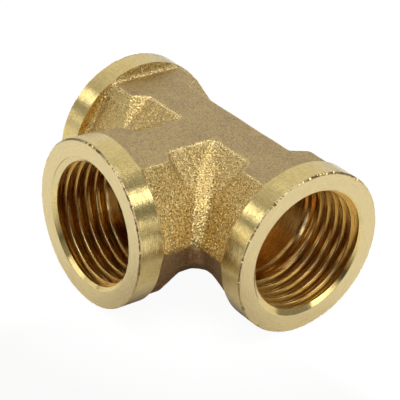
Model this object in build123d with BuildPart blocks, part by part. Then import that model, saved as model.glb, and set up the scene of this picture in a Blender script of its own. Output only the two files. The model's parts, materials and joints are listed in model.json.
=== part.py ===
"""Equal tee with three G 1/2 female ports: one hot-stamped brass forging, turned, bored and tapped.

Frame: the three port axes meet at the origin. The run lies along X, the branch port faces -Y, and +Z is up.
The forging is the same above and below its parting plane, Z = 0. All lengths are in millimetres.
"""

from build123d import *
import math
import os

# Overall sizes
CENTRE_TO_FACE = 23.5  # from the meeting point of the axes to each port face
COLLAR_RADIUS = 13.25
COLLAR_WIDTH = 4.0
COLLAR_EDGE_BREAK = 0.15  # small chamfer that the turning tool leaves on the outer edge of a port face
COLLAR_BACK = CENTRE_TO_FACE - COLLAR_WIDTH

# Forged section, the same on every leg: a hexagon with flats above and below
HALF_HEIGHT = 11.3  # from the axis to a flat of the hexagon
HEX_CORNER = HALF_HEIGHT / math.cos(math.radians(30))  # from the axis to the parting line
HEX_FLAT_HALF = HEX_CORNER / 2  # half the width of the flat on top of a neck

# Recess between the necks, where the hexagon's upper and lower corners are pressed in
RECESS_FLAT_HALF = 3.65  # half the width of the flat that is left on top
RECESS_FOOT_Z = 7.2  # height at which the recess facet runs out into the side of the hexagon
RECESS_FOOT = HEX_CORNER - RECESS_FOOT_Z * math.tan(math.radians(30))
RECESS_END = 12.5  # distance from the centre at which a neck starts
NECK_CORNER = 14.2  # the same at a neck's own corner, because the step between them slants

# Web in each inner corner, between the run and the branch
WEB_FOOT_HALF = 0.65  # half its width at the parting plane
WEB_TOP_HALF = 1.6  # half its width at the height of the flats
WEB_FOOT_Z = 0.5  # the foot is blunt for this far above and below the parting plane
WEB_FOOT = HEX_CORNER * math.sqrt(2) + 0.7  # reach along the diagonal at its foot
WEB_KNEE = RECESS_FOOT * math.sqrt(2) + 1.45  # reach along the diagonal at the height of the recess foot
WEB_TIP = RECESS_FLAT_HALF * math.sqrt(2)  # reach along the diagonal where it runs out into the top

# Waterway
BORE_RADIUS = 9.25

# G 1/2 internal thread, ISO 228-1: 14 threads to the inch, 55 degree Whitworth form
PITCH = 25.4 / 14
MAJOR_RADIUS = 20.955 / 2
TAP_DRILL_RADIUS = 19.16 / 2  # the standard lets the crests lie anywhere from 18.631 to 19.172 mm across
GROOVE_DEPTH = MAJOR_RADIUS - TAP_DRILL_RADIUS
FLANK_SLOPE = math.tan(math.radians(55 / 2))
ROOT_HALF_WIDTH = PITCH / 12
CUTTER_OVERLAP = 0.15  # how far the thread cutter reaches inside the tapping bore
MOUTH_RADIUS = 10.5  # countersink at the port face, 120 degrees across
MOUTH_DEPTH = (MOUTH_RADIUS - TAP_DRILL_RADIUS) / math.tan(math.radians(60))
TAP_DRILL_DEPTH = 11.5
THREAD_LENGTH = 10.1
SHOULDER_DEPTH = TAP_DRILL_RADIUS - BORE_RADIUS  # the shoulder between the two bores is at 45 degrees

# Each port's plane at the centre: its normal points out of the port and its y direction is up
PORT_PLANES = {
    "run_front": Plane(origin=(0, 0, 0), x_dir=(0, 1, 0), z_dir=(1, 0, 0)),
    "run_back": Plane(origin=(0, 0, 0), x_dir=(0, -1, 0), z_dir=(-1, 0, 0)),
    "branch": Plane(origin=(0, 0, 0), x_dir=(1, 0, 0), z_dir=(0, -1, 0)),
}

os.makedirs("parts", exist_ok=True)


# Neck: a hexagonal band behind each collar, with its four inner corners cut on a slant
with BuildPart() as neck:
    with BuildSketch(Plane.XY.offset(RECESS_END)):
        RegularPolygon(HALF_HEIGHT, 6, major_radius=False)
    extrude(amount=COLLAR_BACK - RECESS_END)
    for side in (-1, 1):
        for up in (-1, 1):
            inner = Vector(side * RECESS_FLAT_HALF, up * HALF_HEIGHT, RECESS_END)
            outer = Vector(side * HEX_FLAT_HALF, up * HALF_HEIGHT, NECK_CORNER)
            foot = Vector(side * RECESS_FOOT, up * RECESS_FOOT_Z, RECESS_END)
            normal = (outer - inner).cross(foot - inner) * (-side * up)
            split(bisect_by=Plane(origin=inner, x_dir=outer - inner, z_dir=normal), keep=Keep.TOP)


# Leg: the recessed section, its neck and its turned collar, out from the centre along Z
with BuildPart() as leg:
    with BuildSketch(Plane.XY):
        with BuildLine():
            Polyline(
                (RECESS_FLAT_HALF, HALF_HEIGHT),
                (RECESS_FOOT, RECESS_FOOT_Z),
                (HEX_CORNER, 0),
                (RECESS_FOOT, -RECESS_FOOT_Z),
                (RECESS_FLAT_HALF, -HALF_HEIGHT),
                (-RECESS_FLAT_HALF, -HALF_HEIGHT),
                (-RECESS_FOOT, -RECESS_FOOT_Z),
                (-HEX_CORNER, 0),
                (-RECESS_FOOT, RECESS_FOOT_Z),
                (-RECESS_FLAT_HALF, HALF_HEIGHT),
                close=True,
            )
        make_face()
    extrude(amount=COLLAR_BACK)
    add(neck.part)
    with BuildSketch(Plane.XY.offset(COLLAR_BACK)):
        Circle(COLLAR_RADIUS)
    extrude(amount=COLLAR_WIDTH)
    chamfer(leg.faces().sort_by(Axis.Z)[-1].edges(), COLLAR_EDGE_BREAK)


# Corner web: a rib standing on the diagonal, proud of the corner that two legs would leave, and thinner at its foot
with BuildPart() as corner_web:
    with BuildSketch(Plane.XZ):
        with BuildLine():
            Polyline(
                (0, 0),
                (0, HALF_HEIGHT),
                (WEB_TIP, HALF_HEIGHT),
                (WEB_KNEE, RECESS_FOOT_Z),
                (WEB_FOOT, WEB_FOOT_Z),
                (WEB_FOOT, 0),
                close=True,
            )
        make_face()
    extrude(amount=WEB_TOP_HALF, both=True)
    for side in (-1, 1):
        draft = Vector(0, side * HALF_HEIGHT, WEB_FOOT_HALF - WEB_TOP_HALF)
        foot_edge = Plane(origin=(0, side * WEB_FOOT_HALF, 0), x_dir=(1, 0, 0), z_dir=draft)
        split(bisect_by=foot_edge, keep=Keep.BOTTOM)
    mirror(about=Plane.XY)


# Port cutter: everything that the machining removes from one leg
with BuildPart() as port_cutter:
    with BuildSketch(Plane.XZ):
        with BuildLine():
            Polyline(
                (0, 0),
                (BORE_RADIUS, 0),
                (BORE_RADIUS, CENTRE_TO_FACE - TAP_DRILL_DEPTH - SHOULDER_DEPTH),
                (TAP_DRILL_RADIUS, CENTRE_TO_FACE - TAP_DRILL_DEPTH),
                (TAP_DRILL_RADIUS, CENTRE_TO_FACE - MOUTH_DEPTH),
                (MOUTH_RADIUS, CENTRE_TO_FACE),
                (0, CENTRE_TO_FACE),
                close=True,
            )
        make_face()
    revolve(axis=Axis.Z)


# Thread groove: one turn of the trapezoid for each pitch, from inside the bore out past the face
with BuildPart() as thread_groove:
    with BuildLine() as thread_path:
        Helix(
            PITCH,
            THREAD_LENGTH + PITCH / 2,
            TAP_DRILL_RADIUS,
            center=(0, 0, CENTRE_TO_FACE - THREAD_LENGTH),
        )
    with BuildSketch(Plane(origin=thread_path.line @ 0, x_dir=(1, 0, 0), z_dir=(0, -1, 0))):
        with BuildLine():
            inner_half = ROOT_HALF_WIDTH + (GROOVE_DEPTH + CUTTER_OVERLAP) * FLANK_SLOPE
            Polyline(
                (-CUTTER_OVERLAP, -inner_half),
                (GROOVE_DEPTH, -ROOT_HALF_WIDTH),
                (GROOVE_DEPTH, ROOT_HALF_WIDTH),
                (-CUTTER_OVERLAP, inner_half),
                close=True,
            )
        make_face()
    sweep(path=thread_path.line, is_frenet=True)


# The whole fitting: forge the three legs and two webs as one, then machine the three ports
with BuildPart() as tee_body:
    for plane in PORT_PLANES.values():
        with Locations(plane.location):
            add(leg.part)
    for turn in (-45, -135):
        with Locations(Location((0, 0, 0), (0, 0, turn))):
            add(corner_web.part)
    for plane in PORT_PLANES.values():
        with Locations(plane.location):
            add(port_cutter.part, mode=Mode.SUBTRACT)
    for plane in PORT_PLANES.values():
        with Locations(plane.location):
            add(thread_groove.part, mode=Mode.SUBTRACT)

tee_body.part.label = "tee_body"
export_step(tee_body.part, "parts/tee_body.step")
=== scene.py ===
"""Looks of the tee fitting: one brass body, hot stamped, trimmed, turned, bored and tapped.

The body is made the way the real one is. A distance field of the forging's own planes, with rounded edges
and soft corners, is turned into a mesh and roughened. Then lathe tools, drills and taps, built as solids, are
cut out of it. Lengths are in millimetres until the finished mesh is scaled to metres.
"""

import json
import math

import bpy
import numpy as np
from mathutils import Matrix, Vector, noise


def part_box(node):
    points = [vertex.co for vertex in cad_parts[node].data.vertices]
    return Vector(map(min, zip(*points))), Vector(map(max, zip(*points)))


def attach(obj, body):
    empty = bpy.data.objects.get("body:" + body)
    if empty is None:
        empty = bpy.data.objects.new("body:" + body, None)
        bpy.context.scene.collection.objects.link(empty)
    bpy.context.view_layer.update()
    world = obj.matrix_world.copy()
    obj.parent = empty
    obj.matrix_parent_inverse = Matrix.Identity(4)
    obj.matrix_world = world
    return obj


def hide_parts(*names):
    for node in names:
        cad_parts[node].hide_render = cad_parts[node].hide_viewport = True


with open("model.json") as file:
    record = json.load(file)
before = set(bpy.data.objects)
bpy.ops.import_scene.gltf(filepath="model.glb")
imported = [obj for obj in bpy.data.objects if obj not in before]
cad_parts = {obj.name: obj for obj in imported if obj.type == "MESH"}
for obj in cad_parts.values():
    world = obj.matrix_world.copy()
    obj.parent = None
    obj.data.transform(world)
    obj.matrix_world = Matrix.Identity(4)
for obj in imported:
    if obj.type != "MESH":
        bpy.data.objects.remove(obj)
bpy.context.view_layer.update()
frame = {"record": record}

MM = 0.001

# Driving dimensions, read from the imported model
low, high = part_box("tee_body")
mounts = {mount["name"]: mount for mount in frame["record"]["mounts"]}
FACE = high.x / MM  # from the centre to each port face
COLLAR_RADIUS = high.z / MM
FLAT_HEIGHT = mounts["top_flat"]["pos_m"][2] / MM  # from the parting plane to the flat on top
TAP_RADIUS = mounts["port_branch"]["dims"]["r_mm"]  # crests of the thread

# Forging, with the CAD model's sizes, apart from the ribs' sizes and the allowances for the lathe
COLLAR_WIDTH = 4.0
COLLAR_BACK = FACE - COLLAR_WIDTH
TURNING_ALLOWANCE = 0.25  # what the lathe takes off round a collar
FACING_ALLOWANCE = 0.6  # what it takes off in front of the port face
FORGED_COLLAR_RADIUS = COLLAR_RADIUS + TURNING_ALLOWANCE
FORGED_END = FACE + FACING_ALLOWANCE
HEX_CORNER = FLAT_HEIGHT / math.cos(math.radians(30))
HEX_FLAT_HALF = HEX_CORNER / 2
RECESS_FLAT_HALF = 3.65
RECESS_FOOT_HEIGHT = 7.2
RECESS_FOOT = HEX_CORNER - RECESS_FOOT_HEIGHT * math.tan(math.radians(30))
RECESS_END = 12.5
NECK_CORNER = 14.2
RECESS_APEX = RECESS_FLAT_HALF * math.sqrt(2)  # along the diagonal, where the valley of two recesses starts
VALLEY_FOOT_HEIGHT = 6.0  # above this height the valley's corner is filled more and more
VALLEY_RISE = 3.0  # and in full this much higher

# Ribs in the two inner corners, before their edges are rounded and their corners filled
WEB_FOOT_HALF = 0.65
WEB_TOP_HALF = 1.1
WEB_FOOT = HEX_CORNER * math.sqrt(2) + 1.2
WEB_KNEE = RECESS_FOOT * math.sqrt(2) + 1.45
WEB_TIP = RECESS_APEX + 4.2  # where the top comes out of the valley between the recesses
WEB_TIP_HEIGHT = 9.0

# Waterway and G 1/2 thread, as in the CAD model
BORE_RADIUS = 9.25
PITCH = 25.4 / 14
MAJOR_RADIUS = 20.955 / 2
MOUTH_RADIUS = 10.5
MOUTH_SLOPE = math.tan(math.radians(60))  # the countersink is 120 degrees across
TAP_DRILL_DEPTH = 11.5
THREAD_START = FACE - 9.9  # where the grooves reach their depth, from the centre
EDGE_BREAK = 0.15  # on the outer edge of a port face, before its unevenness

# Each port's direction, and a direction across it
PORTS = {
    "run_front": (Vector((1, 0, 0)), Vector((0, 1, 0))),
    "run_back": (Vector((-1, 0, 0)), Vector((0, -1, 0))),
    "branch": (Vector((0, -1, 0)), Vector((1, 0, 0))),
}

# Material slots of the body, in this order on every mesh that the body is made from
FORGED, TURNED_RUN, TURNED_BRANCH, TAPPED_RUN, TAPPED_BRANCH = range(5)


# ---------------------------------------------------------------- distance field of the forging


def smooth_max(a, b, reach):
    """The larger of two distances, blended over reach, which rounds the edge between two faces."""
    h = np.maximum(reach - np.abs(a - b), 0) / reach
    return np.maximum(a, b) + h * h * reach / 4


def smooth_min(a, b, reach):
    """The smaller of two distances, blended over reach, which fills the corner between two shapes."""
    return -smooth_max(-a, -b, reach)


def soft_abs(values, reach):
    """Absolute value with its kink rounded."""
    return np.sqrt(values * values + reach * reach)


def line_distance(across, height, start, end):
    """Distance outside the face that runs from start down to end in a section."""
    along = np.subtract(end, start)
    normal = np.array((-along[1], along[0])) / np.hypot(*along)
    return (across - start[0]) * normal[0] + (height - start[1]) * normal[1]


def leg_distance(out, across, height):
    """One leg without its top and bottom flats: the recessed section, and the neck with its inner corners cut
    on a slant."""
    side = soft_abs(across, reach=0.2)
    up = soft_abs(height, reach=0.12)
    flank = line_distance(side, up, (RECESS_FOOT, RECESS_FOOT_HEIGHT), (HEX_CORNER, 0))
    facet = line_distance(side, up, (RECESS_FLAT_HALF, FLAT_HEIGHT), (RECESS_FOOT, RECESS_FOOT_HEIGHT))
    recessed = smooth_max(facet, flank, reach=0.9)
    inner = np.array((RECESS_FLAT_HALF, FLAT_HEIGHT, RECESS_END))
    outer = np.array((HEX_FLAT_HALF, FLAT_HEIGHT, NECK_CORNER))
    foot = np.array((RECESS_FOOT, RECESS_FOOT_HEIGHT, RECESS_END))
    normal = np.cross(foot - inner, outer - inner)
    normal = normal / np.linalg.norm(normal) * -np.sign(normal[2])
    step = (side - inner[0]) * normal[0] + (up - inner[1]) * normal[1] + (out - inner[2]) * normal[2]
    neck = smooth_max(flank, step, reach=0.5)
    inside_collar = 1.0  # how far the leg runs on behind the collar's back
    return smooth_max(smooth_min(recessed, neck, reach=0.35), out - COLLAR_BACK - inside_collar, reach=0.2)


def collar_distance(out, across, height):
    """The round collar at the end of a leg."""
    rim = np.hypot(across, height) - FORGED_COLLAR_RADIUS
    return smooth_max(smooth_max(rim, COLLAR_BACK - out, reach=0.4), out - FORGED_END, reach=0.2)


def web_distance(x, y, z):
    """The ribs that stand in the corners between the run and the branch, thinner at their feet."""
    up = soft_abs(z, reach=0.6)
    side = soft_abs(x, reach=0.05)
    along_diagonal = (side - y) / math.sqrt(2)
    off_diagonal = (side + y) / math.sqrt(2)
    top = line_distance(along_diagonal, up, (WEB_TIP, WEB_TIP_HEIGHT), (WEB_KNEE, RECESS_FOOT_HEIGHT))
    front = line_distance(along_diagonal, up, (WEB_KNEE, RECESS_FOOT_HEIGHT), (WEB_FOOT, 0))
    profile = smooth_max(smooth_max(top, front, reach=2.0), up - FLAT_HEIGHT, reach=0.4)
    half = WEB_FOOT_HALF + (WEB_TOP_HALF - WEB_FOOT_HALF) * np.abs(z) / FLAT_HEIGHT
    edge = 0.25 + 0.06 * np.abs(z)  # rounder towards the top
    return smooth_max(profile, soft_abs(off_diagonal, reach=0.1) - half, edge)


def forging_distance(points):
    """Distance from the forging's surface, negative inside."""
    x, y, z = points[..., 0], points[..., 1], points[..., 2]
    run = leg_distance(np.abs(x), y, z)
    branch = smooth_max(leg_distance(-y, x, z), y, reach=0.2)
    beyond = np.maximum((np.abs(x) - y) / math.sqrt(2) - RECESS_APEX, 0)
    valley = 0.3 + 0.25 * beyond * np.clip((np.abs(z) - VALLEY_FOOT_HEIGHT) / VALLEY_RISE, 0, 1)
    rise = np.minimum(np.abs(z) / FLAT_HEIGHT, 1)
    fillet = 0.15 + 0.9 * rise * (1 - rise**4)  # a rib blends into the walls most softly below its top
    body = smooth_min(smooth_min(run, branch, valley), web_distance(x, y, z), fillet)
    body = smooth_max(body, np.abs(z) - FLAT_HEIGHT, reach=0.35)
    collars = np.minimum(collar_distance(np.abs(x), y, z), collar_distance(-y, x, z))
    return smooth_min(body, collars, reach=0.9)


def forging_gradient(points, step=0.02):
    """Direction in which the distance grows fastest, by central differences."""
    gradient = np.empty_like(points)
    for axis in range(3):
        offset = np.zeros(3)
        offset[axis] = step
        rise = forging_distance(points + offset) - forging_distance(points - offset)
        gradient[:, axis] = rise / (2 * step)
    return gradient


# ---------------------------------------------------------------- meshes


def surface_net(distance, low_corner, high_corner, cell):
    """Points and quads of the closed surface where distance is zero: one point in each grid cell that it
    crosses."""
    counts = np.ceil((high_corner - low_corner) / cell).astype(int) + 1
    lines = [low_corner[i] + cell * np.arange(counts[i]) for i in range(3)]
    inside = np.empty(counts, bool)
    for i, x in enumerate(lines[0]):
        slab = np.stack(np.meshgrid([x], lines[1], lines[2], indexing="ij"), axis=-1)
        inside[i] = distance(slab)[0] < 0
    parts = [inside[i : counts[0] - 1 + i, j : counts[1] - 1 + j, k : counts[2] - 1 + k]
             for i in (0, 1) for j in (0, 1) for k in (0, 1)]
    crossed = np.any(parts, axis=0) & ~np.all(parts, axis=0)
    number = np.full(crossed.shape, -1, np.int64)
    number[crossed] = np.arange(crossed.sum())
    points = low_corner + (np.argwhere(crossed) + 0.5) * cell
    quads = []
    for axis in range(3):
        before, after = (np.take(inside, range(s, counts[axis] - 1 + s), axis=axis) for s in (0, 1))
        other = [a for a in range(3) if a != axis]
        for sign in (True, False):
            edges = np.argwhere((before == sign) & (after != sign))
            ring = []
            for first, second in ((0, 0), (1, 0), (1, 1), (0, 1)):
                near = edges.copy()
                near[:, other[0]] -= 1 - first
                near[:, other[1]] -= 1 - second
                ring.append(number[tuple(near.T)])
            quad = np.stack(ring, axis=-1)
            quads.append(quad if sign == (axis != 1) else quad[:, ::-1])
    return points, np.concatenate(quads)


def make_mesh(name, points, faces, slot):
    """A mesh in its own object, with all faces in one of the body's material slots."""
    mesh = bpy.data.meshes.new(name)
    mesh.from_pydata([tuple(p) for p in points], [], [tuple(int(i) for i in f) for f in faces])
    for material in materials:
        mesh.materials.append(material)
    mesh.polygons.foreach_set("material_index", np.full(len(mesh.polygons), slot, np.int32))
    mesh.validate()
    body = bpy.data.objects.new(name, mesh)
    bpy.context.scene.collection.objects.link(body)
    return body


def port_matrix(port):
    """Turns a tool built along +Z into the one for this port."""
    out, across = PORTS[port]
    return Matrix((across, out.cross(across), out)).transposed()


def turned_solid(name, profile, segments, port, slot, wobble=None):
    """A closed solid of revolution about a port's axis. The profile runs from axis to axis as (radius,
    distance out) pairs, and wobble(index, angle) shifts one of its points by such a pair."""
    points, rings = [], []
    for index, (radius, out) in enumerate(profile):
        if radius == 0:
            rings.append([len(points)] * segments)
            points.append((0, 0, out))
            continue
        rings.append(list(range(len(points), len(points) + segments)))
        for k in range(segments):
            angle = 2 * math.pi * k / segments
            more, along = wobble(index, angle) if wobble else (0, 0)
            here = radius + more
            points.append((here * math.cos(angle), here * math.sin(angle), out + along))
    faces = []
    for lower, upper in zip(rings, rings[1:]):
        for k in range(segments):
            face = [lower[k], lower[(k + 1) % segments], upper[(k + 1) % segments], upper[k]]
            faces.append(list(dict.fromkeys(face)))
    turn = port_matrix(port)
    return make_mesh(name, [turn @ Vector(p) for p in points], faces, slot)


def angle_noise(angle, frequency, seed):
    """Smooth noise that closes round a circle."""
    return noise.noise(Vector((math.cos(angle) * frequency, math.sin(angle) * frequency, seed)))


# ---------------------------------------------------------------- the forging


def forging():
    """The stamped body before machining, with the lumps and pits of its skin."""
    cell = 0.30
    margin = 3 * cell
    low_corner = np.array((-FORGED_END, -FORGED_END, -FORGED_COLLAR_RADIUS)) - margin
    high_corner = np.array((FORGED_END, FORGED_COLLAR_RADIUS, FORGED_COLLAR_RADIUS)) + margin
    points, quads = surface_net(forging_distance, low_corner, high_corner, cell)
    start = points.copy()
    steps_to_surface = 4
    for _ in range(steps_to_surface):
        gradient = forging_gradient(points)
        length = np.maximum(np.sum(gradient * gradient, axis=1), 0.2)
        points = points - gradient * (forging_distance(points) / length)[:, None]
        points = start + np.clip(points - start, -cell, cell)
    gradient = forging_gradient(points)
    normal = gradient / np.linalg.norm(gradient, axis=1)[:, None]
    return make_mesh("forging", points + normal * skin_height(points, normal)[:, None], quads, FORGED)


def skin_height(points, normal):
    """How far the skin stands off the die's planes: slow lumps, and finer pits where it was shot-blasted. The
    flats, which the die pressed smooth, have less of both."""
    pressed = (np.abs(normal[:, 2]) > 0.97) & (np.abs(points[:, 2]) > FLAT_HEIGHT - 0.4)
    height = np.empty(len(points))
    for i, p in enumerate(points):
        place = Vector(p)
        lump = 0.05 * noise.noise(place / 4.5) + 0.022 * noise.noise(place / 1.7)
        grain = 0.016 * noise.noise(place / 0.55)
        height[i] = 0.5 * lump + 0.4 * grain if pressed[i] else lump + grain
    return height


# ---------------------------------------------------------------- the tools that cut it


def outside_tool(port, seed):
    """What the lathe takes off: the allowances round a collar and in front of its face, and the
    countersink."""
    clear_radius = FORGED_COLLAR_RADIUS + 2
    clear_end = FACE + 2
    behind_collar = COLLAR_BACK - 0.6
    mouth = TAP_RADIUS - 0.3  # inside the tapping drill, so that the cone runs right down to it
    mouth_end = FACE - (MOUTH_RADIUS - mouth) / MOUTH_SLOPE
    far, near = 0.12, 0.03  # guard rings on both sides of the mouth's edge, which keep it crisp
    profile = [
        (0, mouth_end),
        (mouth, mouth_end),
        (MOUTH_RADIUS - far, FACE - far / MOUTH_SLOPE),
        (MOUTH_RADIUS - near, FACE - near / MOUTH_SLOPE),
        (MOUTH_RADIUS + near, FACE),
        (MOUTH_RADIUS + far, FACE),
        (COLLAR_RADIUS - EDGE_BREAK, FACE),
        (COLLAR_RADIUS, FACE - EDGE_BREAK),
        (COLLAR_RADIUS, behind_collar),
        (clear_radius, behind_collar),
        (clear_radius, clear_end),
        (0, clear_end),
    ]
    on_face, on_collar = 6, 7  # the profile's two points at the broken edge

    def wobble(index, angle):
        """The burr and the nicks along the broken edge."""
        uneven = 0.06 * angle_noise(angle, 14, seed) + 0.10 * angle_noise(angle, 52, seed + 3)
        knocked = max(0.0, angle_noise(angle, 6, seed + 7) + 0.15)
        chip = knocked * max(0.0, angle_noise(angle, 70, seed + 9) - 0.1)
        loss = max(-0.1, uneven + 1.1 * chip)
        if index == on_face:
            return -loss, 0
        if index == on_collar:
            return 0, -loss
        return 0, 0

    slot = TURNED_BRANCH if port == "branch" else TURNED_RUN
    return turned_solid("lathe_" + port, profile, 720, port, slot, wobble)


def bore_tool(port):
    """Waterway and tapping drill, with the 45 degree shoulder between them. The run's two drills overlap at
    the centre, and the branch's is a little slimmer, so that no two surfaces coincide."""
    hair = 0.03
    cone = TAP_RADIUS - BORE_RADIUS
    wall = TAP_RADIUS - hair  # a little inside the tap's own surface
    start = 0 if port == "branch" else -0.4
    bore = BORE_RADIUS - hair if port == "branch" else BORE_RADIUS
    drill_end = FACE - TAP_DRILL_DEPTH
    profile = [
        (0, start),
        (bore, start),
        (bore, drill_end - cone),
        (wall, drill_end),
        (wall, FACE + 1),
        (0, FACE + 1),
    ]
    slot = TAPPED_BRANCH if port == "branch" else TAPPED_RUN
    return turned_solid("drill_" + port, profile, 180, port, slot)


def thread_section():
    """One pitch of the tap's outline, as (distance along, height above the crests of the fitting) pairs."""
    depth = MAJOR_RADIUS - TAP_RADIUS
    slope = 1 / math.tan(math.radians(55 / 2))
    root = 0.27  # half the width of the blunt bottom that a worn tap cuts
    land = PITCH / 2 - root - depth / slope  # half the width of a crest
    half = [
        (0, 0),
        (land - 0.08, 0.004),
        (land - 0.02, 0.03),
        (land + 0.03, 0.10),
        (land + 0.5 * depth / slope, 0.5 * depth),
        (PITCH / 2 - root - 0.06, depth - 0.11),
        (PITCH / 2 - root + 0.03, depth - 0.02),
        (PITCH / 2, depth),
    ]
    return half + [(PITCH - along, height) for along, height in half[-2:0:-1]]


def tap_tool(port, seed):
    """The tap's sweep: a grid that follows the helix, capped at both ends by a fan to the axis. Its turn
    leaves the lower side of the countersink clear of the groove."""
    per_turn = 100
    section = thread_section()
    columns = len(section)
    first = FACE - TAP_DRILL_DEPTH + 0.02
    turns = (FACE + 1.2 - first) / PITCH + 1
    steps = int(turns * per_turn)
    lead_in = 0.8 * per_turn  # the tap's taper leaves a shallow first turn
    lead_in_drop = 0.08  # how far inside the drill's wall it starts
    turned = math.radians(185 if port == "branch" else 225)
    points = []
    for i in range(steps + 1):
        angle = 2 * math.pi * i / per_turn + turned
        ramp = min(1.0, i / lead_in)
        ramp = ramp * ramp * (3 - 2 * ramp)
        for along, height in section:
            place = Vector((9 * math.cos(angle), 9 * math.sin(angle), i / per_turn + along + seed))
            torn = 0.012 * noise.noise(place)
            radius = TAP_RADIUS - lead_in_drop * (1 - ramp) + ramp * (height + torn)
            out = first + PITCH * i / per_turn + along
            points.append((radius * math.cos(angle), radius * math.sin(angle), out))

    def point(i, j):
        """The last column of one turn is the first column of the next."""
        return (i + per_turn) * columns if j == columns else i * columns + j

    faces = []
    for i in range(steps):
        for j in range(columns):
            if j == columns - 1 and i + 1 + per_turn > steps:
                continue
            faces.append((point(i, j), point(i + 1, j), point(i + 1, j + 1), point(i, j + 1)))
    bottom, top = len(points), len(points) + 1
    points.append((0, 0, first + PITCH / 2))
    points.append((0, 0, first + PITCH * (turns - 0.5)))
    start_rim = [point(i, 0) for i in range(per_turn + 1)]
    start_rim = start_rim + [point(0, j) for j in range(columns - 1, 0, -1)]
    for a, b in zip(start_rim, start_rim[1:] + start_rim[:1]):
        faces.append((b, a, bottom))
    end = steps - per_turn
    end_rim = [point(i, columns - 1) for i in range(end, steps + 1)]
    end_rim = end_rim + [point(steps, j) for j in range(columns - 2, -1, -1)]
    for a, b in zip(end_rim, end_rim[1:] + end_rim[:1]):
        faces.append((a, b, top))
    turn = port_matrix(port)
    slot = TAPPED_BRANCH if port == "branch" else TAPPED_RUN
    return make_mesh("tap_" + port, [turn @ Vector(p) for p in points], faces, slot)


def cut(body, tool):
    """Takes the tool's solid out of the body and keeps the mesh that is left."""
    modifier = body.modifiers.new("cut", "BOOLEAN")
    modifier.operation = "DIFFERENCE"
    modifier.solver = "MANIFOLD"
    modifier.object = tool
    evaluated = body.evaluated_get(bpy.context.evaluated_depsgraph_get())
    mesh = bpy.data.meshes.new_from_object(evaluated)
    old = body.data
    body.modifiers.clear()
    body.data = mesh
    bpy.data.meshes.remove(old)
    used = tool.data
    bpy.data.objects.remove(tool)
    bpy.data.meshes.remove(used)


# ---------------------------------------------------------------- materials

# Colours are linear (r, g, b)
CUT_BRASS = (0.80, 0.655, 0.34)  # a port face, and the thread's end beside it


class Nodes:
    """Short calls for building one material's node tree."""

    def __init__(self, tree):
        self.tree = tree

    def add(self, kind, inputs=(), **settings):
        """A node with its settings, and its inputs linked or filled in by name or number."""
        node = self.tree.nodes.new(kind)
        for key, value in settings.items():
            setattr(node, key, value)
        for key, value in dict(inputs).items():
            if isinstance(value, bpy.types.NodeSocket):
                self.tree.links.new(value, node.inputs[key])
            else:
                node.inputs[key].default_value = value
        return node

    def math(self, operation, a, b=0.0):
        return self.add("ShaderNodeMath", {0: a, 1: b}, operation=operation).outputs[0]

    def times(self, a, b):
        return self.math("MULTIPLY", a, b)

    def without(self, mask):
        """The opposite of a mask."""
        return self.math("SUBTRACT", 1.0, mask)

    def vector(self, operation, a, b=(0.0, 0.0, 0.0)):
        return self.add("ShaderNodeVectorMath", {0: a, 1: b}, operation=operation).outputs[0]

    def dot(self, a, b):
        return self.add("ShaderNodeVectorMath", {0: a, 1: b}, operation="DOT_PRODUCT").outputs["Value"]

    def mix(self, factor, a, b):
        """Blends two numbers."""
        return self.add("ShaderNodeMix", {0: factor, 2: a, 3: b}).outputs[0]

    def blend(self, factor, a, b, mode="MIX"):
        """Blends two colours, each of them a socket or (r, g, b)."""
        a, b = ((*colour, 1) if isinstance(colour, tuple) else colour for colour in (a, b))
        node = self.add("ShaderNodeMix", {0: factor, 6: a, 7: b}, data_type="RGBA", blend_type=mode)
        return node.outputs[2]

    def noise(self, vector, scale, detail, rough, distortion=0.0, output="Fac"):
        inputs = {"Vector": vector, "Scale": scale, "Detail": detail, "Roughness": rough}
        inputs["Distortion"] = distortion
        return self.add("ShaderNodeTexNoise", inputs).outputs[output]

    def stretch(self, value, low_in, high_in, low_out=0.0, high_out=1.0, smooth=False):
        """Maps one range of a number onto another, and stops at its ends."""
        inputs = {0: value, 1: low_in, 2: high_in, 3: low_out, 4: high_out}
        kind = "SMOOTHSTEP" if smooth else "LINEAR"
        return self.add("ShaderNodeMapRange", inputs, interpolation_type=kind).outputs[0]

    def colour(self, factor, stops):
        """A colour ramp through (place, (r, g, b)) stops."""
        node = self.add("ShaderNodeValToRGB", {0: factor})
        ramp = node.color_ramp
        while len(ramp.elements) < len(stops):
            ramp.elements.new(0.5)
        for element, (place, rgb) in zip(ramp.elements, stops):
            element.position = place
            element.color = (*rgb, 1)
        return node.outputs[0]

    def bump(self, height, distance, strength, normal=None):
        """A normal tipped by a height. The distance is in millimetres."""
        inputs = {"Height": height, "Distance": distance * MM, "Strength": strength}
        if normal is not None:
            inputs["Normal"] = normal
        return self.add("ShaderNodeBump", inputs).outputs[0]

    def object_normal(self):
        """The parts of the surface's own normal."""
        normal = self.add("ShaderNodeTexCoord").outputs["Normal"]
        return self.add("ShaderNodeSeparateXYZ", {0: normal}).outputs


def brass(name):
    """A bare metal with its nodes, its shader and the place in millimetres."""
    material = bpy.data.materials.new(name)
    material.use_nodes = True
    tree = material.node_tree
    tree.nodes.clear()
    nodes = Nodes(tree)
    shader = nodes.add("ShaderNodeBsdfPrincipled", {"Metallic": 1.0})
    nodes.add("ShaderNodeOutputMaterial", {0: shader.outputs[0]})
    place = nodes.add("ShaderNodeTexCoord").outputs["Object"]
    return material, nodes, shader, nodes.vector("MULTIPLY", place, (1 / MM,) * 3)


def wire(nodes, shader, tone, roughness, normal):
    """Links a colour, a roughness and a normal to the metal's shader."""
    for socket, value in (("Base Color", tone), ("Roughness", roughness), ("Normal", normal)):
        nodes.tree.links.new(value, shader.inputs[socket])


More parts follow.
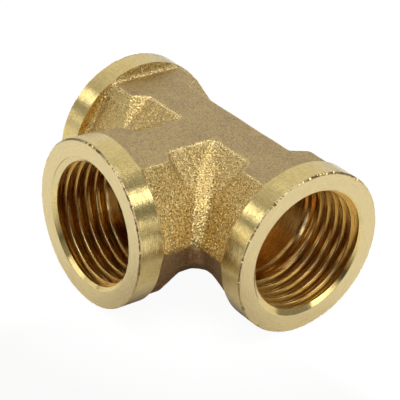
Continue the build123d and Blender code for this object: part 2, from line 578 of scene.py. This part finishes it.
def sparkle(nodes, place, scale, strength):
    """The surface's normal, tipped this way and that by a fine grain."""
    grain = nodes.noise(place, scale, 2.0, 0.65, output="Color")
    tilt = nodes.vector("SUBTRACT", grain, (0.5, 0.5, 0.5))
    tilt = nodes.vector("MULTIPLY", tilt, (strength,) * 3)
    normal = nodes.add("ShaderNodeNewGeometry").outputs["Normal"]
    return nodes.vector("NORMALIZE", nodes.vector("ADD", normal, tilt))


def forged_brass():
    """Stamped and shot-blasted skin: a fine sparkling grain on the sides, smoother and browner on the flats,
    a painted highlight along the flats' edges, and painted shade on the slopes that face most up or down and,
    darker and browner, below the parting line."""
    pale_speck = (0.66, 0.50, 0.24)
    dark_speck = (0.26, 0.18, 0.10)
    grey_freckle = (0.34, 0.26, 0.20)
    # painted highlight: pale colour where the flats' rounded edges catch the light
    edge_highlight_tone = (0.90, 0.72, 0.38)
    # painted shade: darkens the slopes that face most up or down
    slope_shade_tone = (0.86, 0.84, 0.82)
    # painted shade: darker and browner below the parting line
    underside_shade_tone = (0.66, 0.46, 0.40)
    side_stops = [
        (0.34, (0.32, 0.20, 0.055)),
        (0.46, (0.64, 0.46, 0.17)),
        (0.55, (0.77, 0.575, 0.24)),
        (0.64, (0.94, 0.78, 0.41)),
    ]
    flat_stops = [(0.32, (0.42, 0.30, 0.14)), (0.5, (0.48, 0.35, 0.155)), (0.68, (0.54, 0.40, 0.17))]

    material, nodes, shader, place = brass("forged_brass")
    z = nodes.add("ShaderNodeSeparateXYZ", {0: place}).outputs["Z"]
    level = nodes.math("ABSOLUTE", nodes.object_normal()["Z"])
    high = nodes.stretch(nodes.math("ABSOLUTE", z), FLAT_HEIGHT - 0.7, FLAT_HEIGHT - 0.3)
    flat = nodes.times(nodes.stretch(level, 0.93, 0.985, smooth=True), high)
    grain = nodes.noise(place, 4.6, 2.0, 0.7)
    fine = nodes.noise(place, 8.0, 2.0, 0.6)
    patches = nodes.noise(place, 0.16, 4.0, 0.62)
    freckles = nodes.noise(place, 1.1, 3.0, 0.7)
    speck = nodes.noise(place, 3.6, 2.0, 0.7)

    relief = nodes.mix(flat, nodes.math("ADD", grain, nodes.times(fine, 0.5)), fine)
    blasted = nodes.bump(relief, 0.09, 0.8, sparkle(nodes, place, 3.7, 2.1))
    pressed = nodes.bump(relief, 0.03, 0.7, sparkle(nodes, place, 4.4, 0.7))
    normal = nodes.add("ShaderNodeMix", {0: flat, 4: blasted, 5: pressed}, data_type="VECTOR").outputs[1]

    flat_tone = nodes.colour(patches, flat_stops)
    flat_tone = nodes.blend(nodes.stretch(speck, 0.50, 0.62, 0.0, 0.6), flat_tone, pale_speck)
    flat_tone = nodes.blend(nodes.stretch(speck, 0.46, 0.36, 0.0, 0.7), flat_tone, dark_speck)
    flat_tone = nodes.blend(nodes.stretch(freckles, 0.58, 0.68, 0.0, 0.5), flat_tone, grey_freckle)
    tone = nodes.blend(flat, nodes.colour(grain, side_stops), flat_tone)
    # painted shade on the slopes that face most up or down, apart from the flats
    sloping = nodes.times(nodes.stretch(level, 0.66, 0.76), nodes.without(flat))
    tone = nodes.blend(sloping, tone, slope_shade_tone, "MULTIPLY")
    # painted shade below the parting line, darker and browner
    below = nodes.times(nodes.stretch(z, 0.1, -0.5), 0.8)
    tone = nodes.blend(below, tone, underside_shade_tone, "MULTIPLY")
    # painted highlight along the flats' rounded edges, broken up by the grain
    edge = nodes.times(nodes.stretch(level, 0.80, 0.85), nodes.stretch(level, 0.94, 0.90))
    painted_edge_highlight = nodes.times(nodes.times(edge, high), nodes.stretch(grain, 0.40, 0.52))
    tone = nodes.blend(painted_edge_highlight, tone, edge_highlight_tone)
    roughness = nodes.mix(flat, 0.34, nodes.stretch(fine, 0.3, 0.7, 0.36, 0.5))
    wire(nodes, shader, tone, roughness, normal)
    return material


def polar(nodes, place, axis):
    """Distance along a port's axis, radius from it, and the direction round it as a vector."""
    split = nodes.add("ShaderNodeSeparateXYZ", {0: place}).outputs
    other = split["Y" if axis == "X" else "X"]
    squares = [nodes.math("POWER", part, 2.0) for part in (other, split["Z"])]
    radius = nodes.math("SQRT", nodes.math("ADD", *squares))
    parts = [nodes.math("DIVIDE", part, radius) for part in (other, split["Z"])]
    around = nodes.add("ShaderNodeCombineXYZ", {0: parts[0], 1: parts[1]}).outputs[0]
    return split[axis], radius, around


def tool_marks(nodes, around, reach, coarse, fine, detail=3.0):
    """Noise drawn out into lines that run round the axis. The lines break up as often as coarse says, and lie
    as close together as fine says."""
    turned = nodes.vector("MULTIPLY", around, (coarse,) * 3)
    across = nodes.add("ShaderNodeCombineXYZ", {2: nodes.times(reach, fine)}).outputs[0]
    return nodes.noise(nodes.vector("ADD", turned, across), 1.0, detail, 0.6)


def turned_brass(name, axis):
    """Turned collar and port face: fine rings from the tool and a soft shine, brighter round the collar, and
    a rim with painted shade along its top and a painted highlight towards the nearer inner corner."""
    hatched = (0.55, 0.38, 0.14)
    # painted shade along the rim's top
    rim_shade_tone = (0.20, 0.12, 0.06)
    # painted highlight on the rim towards the nearer inner corner
    rim_highlight_tone = (1.00, 0.82, 0.46)
    collar_stops = [(0.35, (0.78, 0.60, 0.24)), (0.52, (0.84, 0.67, 0.28)), (0.7, (0.87, 0.71, 0.32))]

    material, nodes, shader, place = brass(name)
    along, radius, around = polar(nodes, place, axis)
    reach = nodes.math("ADD", along, radius)
    rings = tool_marks(nodes, around, reach, 1.6, 9.0)
    fine_rings = tool_marks(nodes, around, reach, 6.0, 34.0, 1.0)
    chatter = tool_marks(nodes, around, reach, 62.0, 0.9, 2.0)
    outward = nodes.math("ABSOLUTE", nodes.object_normal()[axis])
    facing = nodes.stretch(outward, 0.90, 0.97)
    sunk = nodes.times(nodes.stretch(outward, 0.74, 0.82), nodes.without(facing))
    marks = nodes.math("ADD", rings, nodes.times(fine_rings, 0.6))
    marks = nodes.math("ADD", marks, nodes.times(chatter, nodes.mix(facing, 0.45, 0.0)))
    normal = nodes.bump(marks, 0.016, nodes.mix(sunk, 0.8, 0.15))

    stains = nodes.noise(place, 0.35, 4.0, 0.6, 0.4)
    tone = nodes.colour(nodes.mix(0.5, stains, fine_rings), collar_stops)
    tone = nodes.blend(facing, tone, CUT_BRASS)
    hatch = nodes.times(nodes.stretch(chatter, 0.55, 0.40), nodes.mix(facing, 0.30, 0.0))
    hatch = nodes.math("ADD", hatch, nodes.stretch(fine_rings, 0.50, 0.34, 0.0, 0.30))
    tone = nodes.blend(hatch, tone, hatched)

    from_rim = nodes.math("ADD", nodes.math("ABSOLUTE", along), radius)
    from_rim = nodes.math("SUBTRACT", FACE + COLLAR_RADIUS, from_rim)
    ragged = nodes.stretch(nodes.noise(place, 2.4, 3.0, 0.7), 0.42, 0.50)
    rim = nodes.times(nodes.stretch(from_rim, 0.36, 0.22), ragged)
    inner = -1 if axis == "X" else 1  # the side of the port towards the nearer inner corner
    # which side of the rim gets the painted highlight and which the painted shade
    pale = nodes.stretch(nodes.dot(around, (0.78 * inner, 0.62, 0)), 0.72, 0.90)
    dark = nodes.stretch(nodes.dot(around, (0.45 * inner, 0.90, 0)), 0.25, 0.55)
    dark = nodes.times(dark, nodes.without(pale))
    tone = nodes.blend(nodes.times(rim, dark), tone, rim_shade_tone)
    tone = nodes.blend(nodes.times(rim, pale), tone, rim_highlight_tone)

    collar_roughness = nodes.stretch(rings, 0.3, 0.7, 0.08, 0.14)
    face_roughness = nodes.stretch(rings, 0.3, 0.7, 0.24, 0.34)
    roughness = nodes.mix(rim, nodes.mix(facing, collar_roughness, face_roughness), 0.45)
    wire(nodes, shader, tone, roughness, normal)
    return material


def tapped_brass(name, axis, deep_shade):
    """Bore and thread: amber grooves and drag lines along the cut, a painted highlight on the crests and a
    little painted shade deeper in the grooves. A port may have painted shade deep in its bore, beyond its
    thread, from 0 to 1."""
    drag_line = (0.24, 0.11, 0.025)
    # painted highlight on the thread's crests
    crest_highlight_tone = (0.90, 0.70, 0.36)
    # painted shade deep in the bore, beyond the thread
    deep_shade_tone = (0.38, 0.20, 0.045)
    flank_stops = [(0.35, (0.64, 0.37, 0.10)), (0.65, (0.74, 0.46, 0.14))]
    groove_stops = [(0.35, (0.58, 0.31, 0.06)), (0.65, (0.70, 0.40, 0.09))]

    material, nodes, shader, place = brass(name)
    along, radius, around = polar(nodes, place, axis)
    rings = tool_marks(nodes, around, nodes.math("ADD", along, radius), 2.2, 7.0)
    stains = nodes.noise(place, 0.5, 3.0, 0.6)
    groove = nodes.colour(stains, groove_stops)
    groove = nodes.blend(nodes.stretch(rings, 0.48, 0.37, 0.0, 0.7), groove, drag_line)
    # painted shade: darker deeper in the groove than just under the crest
    cut_in = nodes.stretch(radius, TAP_RADIUS + 0.04, TAP_RADIUS + 0.14)
    tone = nodes.blend(cut_in, nodes.colour(stains, flank_stops), groove)
    out = nodes.math("ABSOLUTE", along)
    tone = nodes.blend(nodes.stretch(out, FACE - 1.0, FACE - 0.7), tone, CUT_BRASS)
    # painted shade deep in the bore, beyond the thread's inner end
    deep = nodes.times(nodes.stretch(out, THREAD_START + 0.2, THREAD_START - 0.2), deep_shade)
    from_crest = nodes.math("ABSOLUTE", nodes.math("SUBTRACT", radius, TAP_RADIUS))
    # painted highlight on the crests
    crest = nodes.times(nodes.stretch(from_crest, 0.06, 0.02), nodes.without(deep))
    tone = nodes.blend(crest, tone, crest_highlight_tone)
    tone = nodes.blend(deep, tone, deep_shade_tone)
    roughness = nodes.mix(crest, nodes.stretch(rings, 0.3, 0.7, 0.20, 0.32), 0.2)
    wire(nodes, shader, tone, roughness, nodes.bump(rings, 0.015, 0.7))
    return material


materials = [
    forged_brass(),
    turned_brass("turned_brass_run", "X"),
    turned_brass("turned_brass_branch", "Y"),
    # the branch port gets painted shade deep in its bore, the run's ports none
    tapped_brass("tapped_brass_run", "X", deep_shade=0.0),
    tapped_brass("tapped_brass_branch", "Y", deep_shade=1.0),
]


# ---------------------------------------------------------------- build the body

SHARP_ANGLE = math.radians(34)

tee = forging()
tee.name = "tee_fitting_body"
for number, port_name in enumerate(PORTS):
    cut(tee, outside_tool(port_name, 10.0 * number))
for number, port_name in enumerate(PORTS):
    cut(tee, bore_tool(port_name))
    cut(tee, tap_tool(port_name, 10.0 * number))
tee.data.name = "tee_fitting_body"
tee.data.transform(Matrix.Scale(MM, 4))
tee.data.shade_smooth()
tee.data.set_sharp_from_angle(angle=SHARP_ANGLE)
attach(tee, "root")
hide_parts("tee_body")


# ---------------------------------------------------------------- floor, studio and camera

# Soft lamps: azimuth and elevation in degrees, distance, width and height in metres, and radiance
LAMPS = {
    "overhead_lamp": (45, 68, 0.4, 0.28, 0.28, 2.6),
    "top_lamp": (50, 88, 0.4, 0.28, 0.28, 1.3),
    "right_lamp": (137, 40, 0.6, 0.20, 0.15, 2.3),
    "left_lamp": (-51, 30, 0.6, 0.16, 0.13, 2.0),
    "front_right_lamp": (101.5, 16, 0.6, 0.28, 0.10, 1.9),
    "front_left_lamp": (-27, 15, 0.6, 0.24, 0.12, 1.4),
    "low_right_lamp": (103, 6.5, 0.6, 0.28, 0.08, 0.6),
    "low_left_lamp": (-42, 5, 0.6, 0.36, 0.08, 0.6),
    "fill_lamp": (47, 38, 0.6, 0.24, 0.24, 1.3),
}
WHITE = (1, 1, 1, 1)


def direction(azimuth, elevation):
    """A direction as the part's views count it: azimuth 0 is -Y and 90 is +X, and elevation is above the
    floor."""
    a, e = math.radians(azimuth), math.radians(elevation)
    return Vector((math.sin(a) * math.cos(e), -math.cos(a) * math.cos(e), math.sin(e)))


def floor():
    """A plain pale floor under the collars. It throws less light back at the tee on the camera's side, where
    a photographer stands."""
    half = 3.0
    pale = (0.93, 0.93, 0.93)
    shade = (0.13, 0.08, 0.06)
    mesh = bpy.data.meshes.new("floor")
    corners = [(-half, -half, low.z), (half, -half, low.z), (half, half, low.z), (-half, half, low.z)]
    mesh.from_pydata(corners, [], [(0, 1, 2, 3)])
    ground = bpy.data.objects.new("floor", mesh)
    bpy.context.scene.collection.objects.link(ground)
    material = bpy.data.materials.new("pale_floor")
    material.use_nodes = True
    material.node_tree.nodes.clear()
    nodes = Nodes(material.node_tree)
    place = nodes.add("ShaderNodeTexCoord").outputs["Object"]
    away = nodes.add("ShaderNodeVectorMath", {0: place}, operation="LENGTH").outputs["Value"]
    ahead = nodes.dot(nodes.vector("NORMALIZE", place), direction(42, 0))
    sector = nodes.stretch(ahead, 0.60, 0.76, smooth=True)
    shaded = nodes.times(sector, nodes.stretch(away, 0.024, 0.044))
    matt = nodes.add("ShaderNodeBsdfDiffuse", {"Color": nodes.blend(shaded, pale, shade)}).outputs[0]
    glow = nodes.add("ShaderNodeEmission", {"Color": WHITE, "Strength": 1.05}).outputs[0]
    seen = nodes.times(nodes.add("ShaderNodeLightPath").outputs["Is Camera Ray"], 0.9)
    surface = nodes.add("ShaderNodeMixShader", {0: seen, 1: matt, 2: glow}).outputs[0]
    nodes.add("ShaderNodeOutputMaterial", {0: surface})
    mesh.materials.append(material)


def softbox(name, azimuth, elevation, distance, width, height, radiance):
    """A rectangular lamp that faces the tee and is seen in its reflections."""
    lamp = bpy.data.lights.new(name, "AREA")
    lamp.shape = "RECTANGLE"
    lamp.size, lamp.size_y = width, height
    lamp.energy = radiance * width * height * math.pi
    holder = bpy.data.objects.new(name, lamp)
    towards = direction(azimuth, elevation)
    holder.location = towards * distance
    holder.rotation_euler = towards.to_track_quat("Z", "Y").to_euler()
    bpy.context.scene.collection.objects.link(holder)


def studio():
    """The soft lamps, and surroundings that are white to the camera but light the tee most from behind it and
    least from the camera's side."""
    world = bpy.data.worlds.new("studio")
    bpy.context.scene.world = world
    world.use_nodes = True
    world.node_tree.nodes.clear()
    nodes = Nodes(world.node_tree)
    place = nodes.add("ShaderNodeTexCoord").outputs["Generated"]
    behind = nodes.dot(place, direction(-125, 18))
    ahead = nodes.dot(place, direction(42, 3))
    glow = nodes.times(
        nodes.stretch(behind, 0.10, 0.95, 0.28, 0.78, smooth=True),
        nodes.stretch(ahead, 0.62, 0.76, 1.0, 0.16, smooth=True),
    )
    seen = nodes.add("ShaderNodeBackground", {0: WHITE, 1: 1.0}).outputs[0]
    cast = nodes.add("ShaderNodeBackground", {0: WHITE, 1: glow}).outputs[0]
    path = nodes.add("ShaderNodeLightPath").outputs["Is Camera Ray"]
    mixed = nodes.add("ShaderNodeMixShader", {0: path, 1: cast, 2: seen}).outputs[0]
    nodes.add("ShaderNodeOutputWorld", {0: mixed})
    for name, settings in LAMPS.items():
        softbox(name, *settings)


def camera():
    """The camera, with a long lens and a slight roll."""
    place = Vector((171.0, -142.4, 123.3)) * MM
    target = Vector((2.5, -4.45, 0.0)) * MM
    roll = math.radians(4.616)
    data = bpy.data.cameras.new("camera")
    data.sensor_width = 36
    data.lens = 145.1
    data.clip_start = 0.01
    data.clip_end = 20
    holder = bpy.data.objects.new("camera", data)
    facing = (target - place).to_track_quat("-Z", "Y").to_matrix().to_4x4()
    holder.matrix_world = Matrix.Translation(place) @ facing @ Matrix.Rotation(roll, 4, "Z")
    bpy.context.scene.collection.objects.link(holder)
    bpy.context.scene.camera = holder


floor()
studio()
camera()
bpy.context.scene.view_settings.view_transform = "Standard"
bpy.context.view_layer.update()
